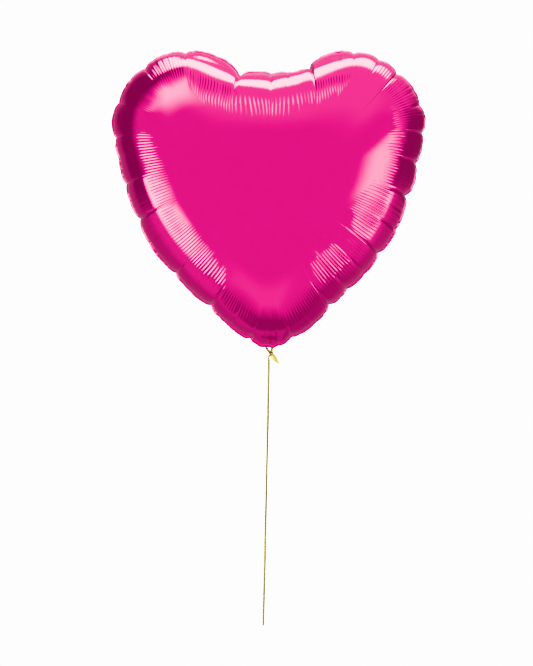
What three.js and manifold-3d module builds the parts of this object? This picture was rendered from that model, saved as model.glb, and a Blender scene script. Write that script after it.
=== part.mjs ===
// Heart-shaped foil balloon with a gold curling ribbon tied round its neck.
// Millimetres, +Z up. The front of the balloon faces -Y and its seam lies in the plane y = 0.
// The origin is at the heart's lower tip, where the neck folds backwards; the ribbon hangs below it.
import * as THREE from "three";
import { mergeVertices } from "three/addons/utils/BufferGeometryUtils.js";
import Module from "manifold-3d";

// The heart, 380 wide and 358 high.
const heartCentreZ = 191; // height of the heart's middle above the fold of the neck
const bulgeDepth = 85; // how far each panel stands off the seam at the middle
const foil = 0.8; // thickness that stands in for a film of about 0.04
const seamGap = 0.3; // gap between the two panels at the heat seal
const sealWidth = 5; // flat heat-sealed border round the heart
const sealMargin = 0.3; // sound seal left above the opening for the neck
const rayCount = 72; // panel facets round the outline
const ringCount = 9; // panel facets from the middle to the seal

// The right half of the outline as [x, z] about the heart's middle, from the notch round to the tip.
const halfOutline = [
  [0, 143], [34, 144], [58, 158], [93, 168], [134, 160], [166, 135], [186, 102], [190, 72],
  [182, 33], [174, 0], [152, -55], [119, -100], [80, -139], [46, -169], [16, -187], [0, -190],
];

// The bulge follows a membrane stretched over the heart and pushed up by the gas.
const membraneTerms = 16; // cosine terms that fit the membrane to the outline
const membraneFullness = 1.25; // 1 gives a disc an elliptical section, 1.5 the flatter one of a film pillow
const edgeFitPower = 8; // how close to the seal the fit's small error is taken out

// The neck: four flat layers that run down inside the tip, fold back under it and rise behind it.
const foldRadius = 5; // radius of the fold under the tip, at the middle of the layers
const neckZ = 1; // height of the gathered stretch of the neck, at the middle of its layers
const tieY = 12; // where the ribbon goes round the gathered neck
const tieRunEndY = 16; // end of the gathered stretch
const tailBendRadius = 8;
const tailAngle = THREE.MathUtils.degToRad(35); // how steeply the tail rises behind the heart
const tailLength = 38;
const valve = 0.3; // thickness of one valve film
const valveTopZ = 50; // where the valve opens inside the heart, and the neck's distances start
const valveEnd = 94; // distance along the neck to the valve's mouth in the tail
const foilStart = 32; // distance along the neck where its two foil layers start, inside the tip
const layerSpacing = 0.3; // gap between neighbouring layers
const stationSpacing = 1.9; // about the distance between the cross-sections of a layer
const foilInner = valve + 1.5 * layerSpacing; // from the middle of the layers to the foil's inner face

// Half widths of the layers as [distance along the neck, half width].
const foilHalfWidths = [[32, 13], [44, 11.5], [53, 4.2], [54.5, 3.75], [62, 3.75], [72, 14], [106, 15]];
const valveHalfWidths = [[0, 9], [44, 8], [53, 3.4], [62, 3.2], [72, 9]];

// The ribbon: 5 wide, its thickness raised so that it is a sound solid.
const ribbonWidth = 5;
const ribbonThickness = 0.8;
const loopRadius = 5; // middle of the ribbon, round the neck
const loopShoulder = THREE.MathUtils.degToRad(20); // how far below level the loop's round part ends
const loopBottomHalfWidth = { outer: 1.5, inner: 0.7 }; // where its two strands meet over the knot
const loopBottomZ = -5.5;
const knotRadius = { x: 2.6, y: 2.1, z: 2.1 };
const knotZ = -7.9;

// The hanging ribbon's route, from just under the knot to its cut end.
const longEndRoute = [
  [-0.3, 12, -10.3], [-0.3, 12.1, -22], [-0.5, 12.3, -40], [-0.8, 12.6, -60], [-1.2, 12.9, -82],
  [-1.7, 13.1, -105], [-2.2, 13.2, -128], [-2.7, 13.1, -151], [-3.2, 12.8, -174], [-3.7, 12.4, -197],
  [-4.2, 12, -220], [-4.7, 11.7, -243], [-5.2, 11.5, -267], [-5.8, 11.4, -292], [-6.4, 11.5, -316],
  [-7, 11.7, -339],
];
const longEndSteps = 28;
const longEndTurn = THREE.MathUtils.degToRad(60); // the ribbon's flat face turned from facing front

// The short loose end, from beside the knot down to the right.
const shortEndRoute = [[3.2, 12, -9.2], [5.6, 11.7, -11.9], [8.6, 11.1, -15.2], [11.6, 10.7, -18.6], [14.6, 10.4, -22]];
const shortEndSteps = 6;
const shortEndTurn = THREE.MathUtils.degToRad(90);

const mergeDistance = 1e-4; // vertices closer than this are one

const wasm = await Module();
wasm.setup();

const magentaFoil = { color: 0xe31385, roughness: 0.14, metalness: 1 };
const clearFilm = { color: 0xe9ecef, roughness: 0.3, metalness: 0 };
const goldRibbon = { color: 0xc9ab55, roughness: 0.3, metalness: 0.9 };

function namedMesh(name, geometry, finish) {
  const mesh = new THREE.Mesh(geometry, new THREE.MeshStandardMaterial(finish));
  mesh.name = name;
  return mesh;
}

function geometryFrom(positions, triangles) {
  const geometry = new THREE.BufferGeometry();
  geometry.setAttribute("position", new THREE.Float32BufferAttribute(positions.flat(), 3));
  geometry.setIndex(triangles.flat());
  geometry.computeVertexNormals();
  return geometry;
}

function solidFrom(geometry) {
  const bare = geometry.clone();
  bare.deleteAttribute("normal");
  bare.deleteAttribute("uv");
  const merged = mergeVertices(bare, mergeDistance);
  const vertProperties = new Float32Array(merged.attributes.position.array);
  const triVerts = new Uint32Array(merged.index.array);
  return new wasm.Manifold(new wasm.Mesh({ numProp: 3, vertProperties, triVerts }));
}

function geometryOfSolid(solid) {
  const { vertProperties, triVerts } = solid.getMesh();
  const geometry = new THREE.BufferGeometry();
  geometry.setAttribute("position", new THREE.BufferAttribute(vertProperties, 3));
  geometry.setIndex(new THREE.BufferAttribute(triVerts, 1));
  geometry.computeVertexNormals();
  return geometry;
}

// Value at a distance in a list of [distance, value] pairs, straight between them.
function valueAt(pairs, distance) {
  const next = pairs.findIndex(([stop]) => stop >= distance);
  if (next === 0) return pairs[0][1];
  if (next === -1) return pairs.at(-1)[1];
  const [stopA, valueA] = pairs[next - 1];
  const [stopB, valueB] = pairs[next];
  return THREE.MathUtils.mapLinear(distance, stopA, stopB, valueA, valueB);
}

// Points of the whole outline, evenly spaced, starting at the notch.
function heartOutline() {
  const right = halfOutline.map(([x, z]) => new THREE.Vector3(x, 0, z));
  const left = halfOutline.slice(1, -1).reverse().map(([x, z]) => new THREE.Vector3(-x, 0, z));
  const curve = new THREE.CatmullRomCurve3([...right, ...left], true);
  return curve.getSpacedPoints(rayCount).slice(0, rayCount);
}

// Solves a small symmetric set of linear equations by elimination.
function solveEquations(matrix, values) {
  const rows = matrix.map((row, i) => [...row, values[i]]);
  const count = rows.length;
  for (let pivot = 0; pivot < count; pivot += 1) {
    for (let row = pivot + 1; row < count; row += 1) {
      const factor = rows[row][pivot] / rows[pivot][pivot];
      for (let column = pivot; column <= count; column += 1) rows[row][column] -= factor * rows[pivot][column];
    }
  }
  const solution = new Array(count).fill(0);
  for (let row = count - 1; row >= 0; row -= 1) {
    const known = solution.reduce((sum, value, column) => sum + value * rows[row][column], 0);
    solution[row] = (rows[row][count] - known) / rows[row][row];
  }
  return solution;
}

const dot = (a, b) => a.reduce((sum, value, i) => sum + value * b[i], 0);

// The membrane's height over the heart, as a function of distance from the middle and angle from the top.
// Its curvature is the same everywhere, and its harmonic terms are fitted to bring it to zero at the seal.
function membraneOver(boundary) {
  const size = Math.max(...boundary.map(({ distance }) => distance));
  const terms = (distance, angle) =>
    Array.from({ length: membraneTerms }, (_, n) => Math.pow(distance / size, n) * Math.cos(n * angle));
  const samples = boundary.map(({ distance, angle }) => terms(distance, angle));
  const sags = boundary.map(({ distance }) => (distance / size) ** 2 / 4);
  const columns = Array.from({ length: membraneTerms }, (_, n) => samples.map((sample) => sample[n]));
  const normalMatrix = columns.map((a) => columns.map((b) => dot(a, b)));
  const weights = solveEquations(normalMatrix, columns.map((a) => dot(a, sags)));
  return (distance, angle) => dot(terms(distance, angle), weights) - (distance / size) ** 2 / 4;
}

// Each outline point with its direction, its distance from the middle and the bulge's height along the ray to it.
function heartRays() {
  const rays = heartOutline().map(({ x, z }) => ({ reach: Math.hypot(x, z), angle: Math.atan2(x, z) }));
  const membrane = membraneOver(rays.map(({ reach, angle }) => ({ distance: reach - sealWidth, angle })));
  return rays.map(({ reach, angle }) => {
    const sealError = membrane(reach - sealWidth, angle);
    const bulgeAt = (t) => {
      const height = membrane((reach - sealWidth) * t, angle) - sealError * Math.pow(t, edgeFitPower);
      const share = THREE.MathUtils.clamp(height / membrane(0, 0), 0, 1);
      return bulgeDepth * Math.sqrt(1 - Math.pow(1 - share, membraneFullness));
    };
    return { reach, angle, bulgeAt };
  });
}

// One ray of a panel as [distance from the heart's middle, distance from the seam plane]:
// over the outer face to the seal, round the seal's edge and back under the inner face.
function panelRay({ reach, bulgeAt }) {
  const innerFace = seamGap / 2;
  const outerFace = innerFace + foil;
  const steps = Array.from({ length: ringCount + 1 }, (_, i) => Math.sin((Math.PI / 2) * (i / ringCount)));
  const outer = steps.map((t) => [(reach - sealWidth) * t, outerFace + bulgeAt(t)]);
  const inner = steps.map((t) => [(reach - sealWidth - foil) * t, innerFace + bulgeAt(t)]);
  return [...outer, [reach, outerFace], [reach, innerFace], ...inner.reverse()];
}

// A bulged heart-shaped shell with its flat sealed border; side is -1 for the front, +1 for the back.
function panelShell(side) {
  const rays = heartRays().map((ray) => ({ angle: ray.angle, profile: panelRay(ray) }));
  const last = rays[0].profile.length - 1;
  const positions = [[0, side * rays[0].profile[0][1], heartCentreZ]];
  for (let row = 1; row < last; row += 1) {
    for (const { angle, profile } of rays) {
      const [distance, depth] = profile[row];
      positions.push([distance * Math.sin(angle), side * depth, heartCentreZ + distance * Math.cos(angle)]);
    }
  }
  positions.push([0, side * rays[0].profile[last][1], heartCentreZ]);

  const vertex = (row, ray) => {
    if (row === 0) return 0;
    if (row === last) return positions.length - 1;
    return 1 + (row - 1) * rayCount + (ray % rayCount);
  };
  const triangles = [];
  const addTriangle = (a, b, c) => triangles.push(side < 0 ? [a, c, b] : [a, b, c]);
  for (let row = 0; row < last; row += 1) {
    for (let ray = 0; ray < rayCount; ray += 1) {
      if (row > 0) addTriangle(vertex(row, ray), vertex(row + 1, ray), vertex(row, ray + 1));
      if (row < last - 1) addTriangle(vertex(row, ray + 1), vertex(row + 1, ray), vertex(row + 1, ray + 1));
    }
  }
  return geometryFrom(positions, triangles);
}

// The neck's middle line as a path in (y, z): down, folded back under the tip, then up behind the heart.
function neckLine() {
  const path = new THREE.Path();
  const foldCentreZ = neckZ + foldRadius;
  const bendCentreZ = neckZ + tailBendRadius;
  path.moveTo(0, valveTopZ);
  path.lineTo(0, foldCentreZ);
  path.absarc(foldRadius, foldCentreZ, foldRadius, Math.PI, 1.5 * Math.PI, false);
  path.lineTo(tieRunEndY, neckZ);
  path.absarc(tieRunEndY, bendCentreZ, tailBendRadius, -0.5 * Math.PI, -0.5 * Math.PI + tailAngle, false);
  const bendEnd = path.currentPoint.clone();
  path.lineTo(bendEnd.x + tailLength * Math.cos(tailAngle), bendEnd.y + tailLength * Math.sin(tailAngle));
  return path;
}

// Cross-section places along the neck, the same for every layer so that the gaps between layers hold.
function neckStations() {
  const path = neckLine();
  const length = path.getLength();
  const count = Math.round(length / stationSpacing);
  return Array.from({ length: count + 1 }, (_, i) => ({
    distance: (length * i) / count,
    middle: path.getPointAt(i / count),
    tangent: path.getTangentAt(i / count),
  }));
}

// A flat layer along the neck, between two offsets from its middle line (minus is the front layer's side).
function neckLayer(start, end, halfWidths, nearOffset, farOffset) {
  const stations = neckStations().filter(({ distance }) => distance >= start && distance <= end);
  const positions = stations.flatMap(({ distance, middle, tangent }) => {
    const halfWidth = valueAt(halfWidths, distance);
    const corners = [[-1, nearOffset], [1, nearOffset], [1, farOffset], [-1, farOffset]];
    return corners.map(([side, offset]) =>
      [side * halfWidth, middle.x - tangent.y * offset, middle.y + tangent.x * offset]);
  });
  const last = (stations.length - 1) * 4;
  const triangles = [[0, 1, 2], [0, 2, 3], [last, last + 2, last + 1], [last, last + 3, last + 2]];
  for (let first = 0; first < last; first += 4) {
    for (let corner = 0; corner < 4; corner += 1) {
      const a = first + corner;
      const b = first + ((corner + 1) % 4);
      triangles.push([a, a + 4, b], [b, a + 4, b + 4]);
    }
  }
  return geometryFrom(positions, triangles);
}

// A panel with its seal opened where the neck passes, and its half of the neck and tail joined on.
function foilPanel(side) {
  const bore = neckLayer(foilStart, Infinity, foilHalfWidths, -foilInner, foilInner);
  const sealOpening = new THREE.BoxGeometry(2 * foilHalfWidths[0][1], 4 * foilInner, sealWidth);
  sealOpening.translate(0, 0, heartCentreZ + halfOutline.at(-1)[1] + sealWidth / 2 - sealMargin);
  const near = side * foilInner;
  const far = side * (foilInner + foil);
  const neck = neckLayer(foilStart, Infinity, foilHalfWidths, Math.min(near, far), Math.max(near, far));
  const joined = solidFrom(panelShell(side))
    .subtract(solidFrom(bore))
    .subtract(solidFrom(sealOpening))
    .add(solidFrom(neck));
  return geometryOfSolid(joined);
}

// One film of the flat self-sealing valve, beside the neck's middle line.
function valveFilm(side) {
  const near = side * (layerSpacing / 2);
  const far = side * (layerSpacing / 2 + valve);
  return neckLayer(0, valveEnd, valveHalfWidths, Math.min(near, far), Math.max(near, far));
}

// The outline of the ribbon loop seen from the front: round over the neck, drawn in to the knot below.
function loopOutline(path, radius, bottomHalfWidth, bottomZ) {
  path.absarc(0, neckZ, radius, -loopShoulder, Math.PI + loopShoulder, false);
  path.lineTo(-bottomHalfWidth, bottomZ);
  path.lineTo(bottomHalfWidth, bottomZ);
  return path;
}

function ribbonLoop() {
  const half = ribbonThickness / 2;
  const { outer, inner } = loopBottomHalfWidth;
  const shape = loopOutline(new THREE.Shape(), loopRadius + half, outer, loopBottomZ).closePath();
  const hole = loopOutline(new THREE.Path(), loopRadius - half, inner, loopBottomZ + ribbonThickness).closePath();
  shape.holes.push(hole);
  const geometry = new THREE.ExtrudeGeometry(shape, { depth: ribbonWidth, bevelEnabled: false, curveSegments: 20 });
  return geometry.rotateX(Math.PI / 2).translate(0, tieY + ribbonWidth / 2, 0);
}

function ribbonKnot() {
  return new THREE.SphereGeometry(1, 14, 10)
    .scale(knotRadius.x, knotRadius.y, knotRadius.z)
    .translate(0, tieY, knotZ);
}

// A flattened eight-sided section swept along a route.
function ribbonAlong(route, steps, turn) {
  const sides = 8;
  const corners = Array.from({ length: sides }, (_, i) => {
    const angle = (2 * Math.PI * (i + 0.5)) / sides;
    const across = (ribbonWidth / 2) * Math.cos(angle);
    const through = (ribbonThickness / 2) * Math.sin(angle);
    return new THREE.Vector2(across, through).rotateAround(new THREE.Vector2(), turn);
  });
  const extrudePath = new THREE.CatmullRomCurve3(route.map((point) => new THREE.Vector3(...point)));
  return new THREE.ExtrudeGeometry(new THREE.Shape(corners), { steps, bevelEnabled: false, extrudePath });
}

const group = new THREE.Group();
group.add(
  namedMesh("front_foil_panel", foilPanel(-1), magentaFoil),
  namedMesh("back_foil_panel", foilPanel(1), magentaFoil),
  namedMesh("valve_front_film", valveFilm(-1), clearFilm),
  namedMesh("valve_back_film", valveFilm(1), clearFilm),
  namedMesh("ribbon_loop", ribbonLoop(), goldRibbon),
  namedMesh("ribbon_knot", ribbonKnot(), goldRibbon),
  namedMesh("ribbon_short_end", ribbonAlong(shortEndRoute, shortEndSteps, shortEndTurn), goldRibbon),
  namedMesh("ribbon_long_end", ribbonAlong(longEndRoute, longEndSteps, longEndTurn), goldRibbon),
);
export default group;
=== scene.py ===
"""A heart-shaped foil balloon with a gold curling ribbon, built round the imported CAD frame.

Metres, +Z up, the balloon's front faces -Y. The two foil panels, the valve films and the ribbon replace
their plain CAD solids with fine meshes in the same places. Lengths marked mm are in millimetres.
"""
import math

import bpy
import numpy as np
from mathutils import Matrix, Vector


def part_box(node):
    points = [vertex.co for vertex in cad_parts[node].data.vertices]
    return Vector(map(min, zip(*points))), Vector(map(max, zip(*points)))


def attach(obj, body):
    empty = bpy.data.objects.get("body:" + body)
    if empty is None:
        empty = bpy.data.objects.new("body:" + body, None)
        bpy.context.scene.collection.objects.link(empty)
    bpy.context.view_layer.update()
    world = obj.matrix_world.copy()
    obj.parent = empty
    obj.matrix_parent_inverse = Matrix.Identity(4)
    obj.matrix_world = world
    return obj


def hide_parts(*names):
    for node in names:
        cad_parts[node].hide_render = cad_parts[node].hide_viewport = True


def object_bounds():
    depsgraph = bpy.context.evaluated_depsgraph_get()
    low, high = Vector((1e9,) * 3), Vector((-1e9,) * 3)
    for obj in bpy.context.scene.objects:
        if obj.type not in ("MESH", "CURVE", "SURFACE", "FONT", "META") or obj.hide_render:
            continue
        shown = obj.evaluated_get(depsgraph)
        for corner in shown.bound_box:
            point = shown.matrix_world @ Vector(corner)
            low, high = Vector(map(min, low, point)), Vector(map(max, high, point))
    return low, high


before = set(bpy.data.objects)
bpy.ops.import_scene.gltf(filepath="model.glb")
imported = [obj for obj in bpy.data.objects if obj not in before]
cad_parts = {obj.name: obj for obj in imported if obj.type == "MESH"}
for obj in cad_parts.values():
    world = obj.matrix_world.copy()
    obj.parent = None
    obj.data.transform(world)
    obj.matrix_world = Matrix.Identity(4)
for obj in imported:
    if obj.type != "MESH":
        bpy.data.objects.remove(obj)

CAD_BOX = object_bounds()
MM = 0.001
FULL_TURN = 2 * math.pi

# ---------------------------------------------------------------- the heart

# The right half of the heart's outline as (x, z) about its middle in mm, from the notch to the tip.
HALF_OUTLINE = [
    (0, 143), (34, 144), (58, 158), (93, 168), (134, 160), (166, 135), (186, 102), (190, 72),
    (182, 33), (174, 0), (152, -55), (119, -100), (80, -139), (46, -169), (16, -187), (0, -190),
]
OUTLINE_STEPS = 60  # between two of those points
LOBE_RISE = 168.2 * MM  # top of the lobes above the heart's middle
HEART_MIDDLE_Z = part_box("front_foil_panel")[1].z - LOBE_RISE
BULGE_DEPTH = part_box("back_foil_panel")[1].y - 1 * MM  # a little inside the CAD's thicker film
MEMBRANE_TERMS = 16  # waves round the heart that the membrane is worked out from
MEMBRANE_FULLNESS = 1.25  # a larger one makes the bulge fuller near the seam
EDGE_FIT_POWER = 8  # a larger one keeps the fit's correction nearer to the seam
SLOPE_STEP = 0.05 * MM  # to each side, where a slope is measured
LEVEL_STEPS = 3  # that bring a row onto its level

SEAM_INSET = 3.2 * MM  # from the outline to the seam that the two bulges share
FILM_GAP = 0.12 * MM  # half the gap between the two panels at the seam

COLUMNS = 2048  # round the seam
RIM_ROWS = 32  # from the seam inward, evenly spaced in the bulge's angle
RIM_END = math.radians(54)
SHOULDER_ANGLES = [math.radians(angle) for angle in (56, 58, 60.5, 63)]
# Rows over the smooth middle: (columns, share of the way from the middle to the shoulder's last row).
MIDDLE_ROWS = [
    (512, 0.95), (512, 0.89), (512, 0.82), (256, 0.74), (256, 0.65), (256, 0.55),
    (128, 0.44), (128, 0.33), (64, 0.22), (64, 0.11),
]

# ---------------------------------------------------------------- creases, wrinkles and ridges

# A DRIFT is the (size, wavelength) of a smooth random line round the seam.
SEAM_DRIFT = (1.1 * MM, 33 * MM)  # of the seam from front to back
SEAM_DRIFT_REACH = 8 * MM  # how far in from the seam it shows
SEAM_DRIFT_SEED = 8

# Creases that run in from the seam: (degrees clockwise from the top, depth at the seam in mm, length in mm).
CREASES = [
    (1, 2.0, 24), (9, 1.4, 20), (17.5, 4.6, 34), (27, 0.9, 12), (32, 2.0, 14), (40.5, 2.0, 22),
    (48, 3.6, 42), (56, 0.8, 12), (61, 2.0, 14), (70, 2.8, 26), (80, 2.4, 22), (93, 4.4, 30),
    (99.5, 0.8, 16), (107.5, 1.8, 24), (120.5, 3.2, 46), (131.5, 1.4, 30), (142, 2.0, 30),
    (152.5, 4.0, 34), (163, 0.8, 16), (172, 2.0, 22), (177.5, 1.5, 16), (182, 1.2, 14),
    (188, 2.0, 20), (197, 1.2, 20), (207, 4.2, 26), (217, 0.6, 20), (228, 2.4, 22),
    (245.5, 0.6, 16), (257, 3.0, 38), (272, 2.0, 18), (282, 0.9, 14), (288.5, 2.0, 18),
    (300, 2.0, 18), (314, 2.0, 30), (328.5, 2.2, 24), (346.5, 5.4, 36),
]
CREASE_WIDTH = 0.9 * MM  # half width well in from the seam
CREASE_FLARE = 3.6 * MM  # how much wider it is at the seam
CREASE_FLARE_REACH = 5 * MM
CREASE_TAIL = 0.3  # share of its depth that it keeps well in from the seam
CREASE_TAIL_START = 9 * MM
CREASE_POWER = 1.1  # of its cross section: 1 is a sharp groove and 2 a round one

FACET_STRENGTH = 0.7  # how far the film lies flat between two deep creases
FACET_EDGE_DEPTH = 1.9 * MM  # creases deeper than this are deep
FACET_START = 8 * MM  # in from the seam
FACET_FADE = (30 * MM, 58 * MM)

PUFF_RISE = 0.03  # of the film between two deep creases, as a share of the gap between them
PUFF_RISE_LIMIT = 1.2 * MM
PUFF_REACH = 14 * MM
PUFF_POWER = 1.5

# Short wrinkles at the seam, the same on both panels so that they meet along it.
WRINKLE_SEED = 3
WRINKLE_HEIGHT = 0.45 * MM
WRINKLE_PITCH = 7.5 * MM
WRINKLE_REACH = 7 * MM
WRINKLE_POWER = 1.5
WRINKLE_PHASE_DRIFT = (0.9, 19 * MM)
WRINKLE_STRENGTH = 0.5
WRINKLE_STRENGTH_DRIFT = (0.5, 9 * MM)
WRINKLE_REACH_DRIFT = (4 * MM, 12 * MM)
WRINKLE_LEVEL = 0.5  # height of a fold that is level with the film
FOLD_POWER = 0.8  # below 1, folds are broad with narrow valleys

# Fine ridges square to the seam: (degrees clockwise from the top, strength of the inner ridges, their
# start and end in mm from the seam, strength of the outer ridges that run in from the seam).
RIDGES = [
    (0, 2.6, 34, 76, 0.5), (8, 2.6, 34, 74, 0.5), (14, 1.2, 30, 60, 0.5), (18, 1.8, 26, 60, 0.3),
    (28, 1.8, 26, 58, 0.3), (34, 0.6, 24, 44, 0.6), (50, 1.2, 16, 44, 0.7), (62, 1.5, 16, 46, 0.4),
    (75, 1.2, 16, 42, 0.3), (88, 0.9, 22, 46, 0.15), (103, 1.3, 18, 60, 0.15), (113, 1.2, 18, 58, 0.15),
    (119, 0.4, 20, 50, 0.15), (130, 0.4, 22, 52, 0.15), (133, 2.4, 22, 62, 0.15), (146, 2.4, 22, 62, 0.15),
    (150, 0.8, 20, 52, 0.15), (160, 0.9, 10, 42, 0.15), (180, 0.9, 10, 46, 0.15), (200, 0.8, 14, 42, 0.15),
    (212, 1.8, 24, 48, 0.15), (228, 1.8, 22, 52, 0.15), (236, 1.3, 22, 54, 0.15), (260, 1.2, 24, 54, 0.1),
    (285, 1.2, 26, 54, 0.1), (296, 0.5, 22, 38, 0.2), (306, 1.3, 20, 52, 0.3), (318, 1.3, 20, 52, 0.4),
    (328, 0.8, 18, 42, 0.4), (334, 2.0, 24, 60, 0.3), (345, 2.2, 26, 66, 0.4), (352, 2.6, 34, 76, 0.5),
    (360, 2.6, 34, 76, 0.5),
]
FRONT_RIDGE_SEED = 11
BACK_RIDGE_SEED = 23
RIDGE_HEIGHT = 0.42 * MM
RIDGE_PITCH = 4.1 * MM
RIDGE_LEVEL = 0.6  # height of a ridge that is level with the film
RIDGE_PHASE_DRIFT = (0.6, 26 * MM)
RIDGE_STRENGTH = 0.7
RIDGE_STRENGTH_DRIFT = (0.3, RIDGE_PITCH)
RIDGE_START_DRIFT = (3 * MM, 31 * MM)
RIDGE_END_DRIFTS = [(5 * MM, 40 * MM), (5 * MM, 6 * MM)]
RIDGE_START_RAMP = (-4 * MM, 8 * MM)  # an inner ridge rises over this much about its start
RIDGE_END_RAMP = 16 * MM  # and falls over this much before its end
OUTER_RIDGE_START = (1 * MM, 6 * MM)
OUTER_RIDGE_REACH = 24 * MM
OUTER_RIDGE_REACH_DRIFT = (5 * MM, 7 * MM)
OUTER_RIDGE_END_RAMP = 6 * MM

# ---------------------------------------------------------------- the sealed border

FLANGE_WIDTH = 3 * MM  # outside the seam
FLANGE_SHARES = (0.0, 0.3, 0.65, 1.0)  # its rows, as shares of its width
FLANGE_NOTCH = 0.3  # share of its width that it loses at a deep crease
FLANGE_SEED = 5
FLANGE_LEAN = 0.8  # how far it leans back, in radians
FLANGE_LEAN_DRIFT = (0.5, 45 * MM)
FLANGE_LEAN_LIMITS = (0.3, 1.2)
FLANGE_RIPPLE_DRIFT = (0.25, 5 * MM)
FLANGE_CURL = 0.7  # below 1, it leans soonest near the seam
TIP_BORDER = 2.9 * MM  # how much wider it is at the tip
TIP_BORDER_X = -17 * MM  # where it is widest
TIP_BORDER_REACH = 42 * MM  # how far to each side of that it is wider
TIP_BORDER_TILT = 0.6  # how far it leans back there, in radians

# ---------------------------------------------------------------- the neck, the tail and the valve

# The neck runs down inside the tip, is folded back under it and gathered by the ribbon, and ends in the
# flat tail.
TIP_HALF_WIDTH = 12 * MM  # of the part of the seam that the neck leaves
TIP_LEAN = 2.5 * MM  # the tip sits a little to one side
TIP_LEAN_FROM = 120 * MM  # below the heart's middle
NECK_Z = 1 * MM
FOLD_RADIUS = 5 * MM
TIE_Y = 12 * MM
TIE_RUN_END_Y = 16 * MM
TAIL_BEND_RADIUS = 8 * MM
TAIL_ANGLE = math.radians(35)
TAIL_LENGTH = 38 * MM
VALVE_TOP_Z = 50 * MM
# Distances along the neck from the valve's top.
VALVE_END = 94 * MM
FOLD_START = VALVE_TOP_Z - NECK_Z - FOLD_RADIUS
NECK_START = FOLD_START + 2 * MM  # where the foil leaves the tip
TIE_START = FOLD_START + 9 * MM  # where it is fully gathered
TIE_END = FOLD_START + FOLD_RADIUS * math.pi / 2 + TIE_RUN_END_Y - FOLD_RADIUS
NECK_END = TIE_END + TAIL_BEND_RADIUS * TAIL_ANGLE + TAIL_LENGTH
# (distance along the neck from the valve's top, half width), in mm.
FOIL_HALF_WIDTHS = [(44, 12), (49, 7.5), (53, 2.9), (54.5, 1.9), (62, 1.9), (72, 14), (106, 15)]
VALVE_HALF_WIDTHS = [(0, 9), (44, 8), (53, 2.2), (54.5, 1.6), (62, 1.6), (72, 9), (94, 9)]
FOIL_OFFSET = 0.4 * MM  # of each foil panel from the neck's middle
VALVE_OFFSET = 0.2 * MM  # of each valve film
VALVE_HALF_THICKNESS = 0.05 * MM
NECK_STEP = 0.8 * MM
FOIL_NECK_COLUMNS = 97
VALVE_COLUMNS = 81
BLEND_ROWS = 6  # over which the neck takes over from the seam
PLEATS = 8
PLEAT_SHARPNESS = 0.97  # 1 would be a zigzag
FILM_HALF_WIDTH = 14 * MM  # of the film in the neck, laid flat
DROOP = 0.25 * MM  # a slow wave in the film
DROOP_ACROSS = 6 * MM
DROOP_ALONG = 9 * MM

# ---------------------------------------------------------------- the ribbon

# Routes and middles are (x, y, z) in mm.
# A CHANGE is (where it starts, where it ends, value before, value after).
RIBBON_WIDTH = 5 * MM
RIBBON_THICKNESS = 0.16 * MM
RIBBON_COLUMNS = 11
ROUTE_STEPS = 24  # between two points of a route
SLANT_START = 0.8  # share of a ribbon's length where its slanted cut begins to tell
FORWARD = (0, -1, 0)

LONG_END_LENGTH = 0.329
LONG_END_ROUTE = [
    (-0.3, 12, -10.3), (-0.3, 12.1, -22), (-0.5, 12.3, -40), (-0.8, 12.6, -60), (-1.2, 12.9, -82),
    (-1.7, 13.1, -105), (-2.2, 13.2, -128), (-2.7, 13.1, -151), (-3.2, 12.8, -174), (-3.7, 12.4, -197),
    (-4.2, 12, -220), (-4.7, 11.7, -243), (-5.2, 11.5, -267), (-5.8, 11.4, -292), (-6.4, 11.5, -316),
    (-7, 11.7, -339),
]
LONG_END_ROWS = 330
LONG_END_TURN = -55  # degrees about its length from facing forward
LONG_END_SWAYS = [(4, 31 * MM, 0), (2, 11.7 * MM, 1)]  # of that turn: (degrees, length, phase)
LONG_END_WIDTH_CHANGE = (0, 8 * MM, 0.7, 1)
LONG_END_CUP = 0.1 * MM
LONG_END_CUP_WAVE = 0.05 * MM
LONG_END_CUP_LENGTH = 19 * MM
LONG_END_SLANT = 0.5 * MM

SHORT_END_ROUTE = [
    (3, 11.8, -9.4), (4.6, 11, -11), (6.8, 10.4, -13.6), (9.2, 10.2, -16.8), (11.8, 10.4, -20.4),
]
SHORT_END_ROWS = 70
SHORT_END_FACING = (-0.15, -1, 0.1)
SHORT_END_TURNS = (14, -16)  # degrees about its length, at the knot and at its tip
SHORT_END_SPREAD_CHANGE = (0, 0.25, 0.6, 1.2)
SHORT_END_FOLD_CHANGE = (0.35, 1, 1, 0.45)
SHORT_END_CUPS = (0.9 * MM, 0.45 * MM)  # at the knot and at its tip
SHORT_END_SLANT = -1.7 * MM

LOOP_HALF_SIZE = (4.2, 0, 3.5)  # of its way over the neck, in mm
LOOP_END_DEGREES = 25  # how far below level the loop still follows the neck
LOOP_POINTS = 47
LOOP_ROWS = 150
LOOP_FOOT = (2.6, 12, -7.6)  # where its strands go into the knot
LOOP_WIDTH = 0.86  # share of the ribbon's
LOOP_CUP = 0.3 * MM  # over the neck, and twice that in the strands
STRAND_RISE = (0, 0.35, 0.7)  # points on a strand, as shares of its way up from the foot
STRAND_OFFSET = np.array([0.4, -0.3, 0])  # of the right strand from the foot, in mm
STRAND_CHANGE = (0.16, 0.34, 1, 0)  # from a strand to the band over the neck
STRAND_TURNS = (-72, 108)  # degrees about their length
STRAND_PINCH_CHANGE = (0.04, 0.15, 0, 0.2)

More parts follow.
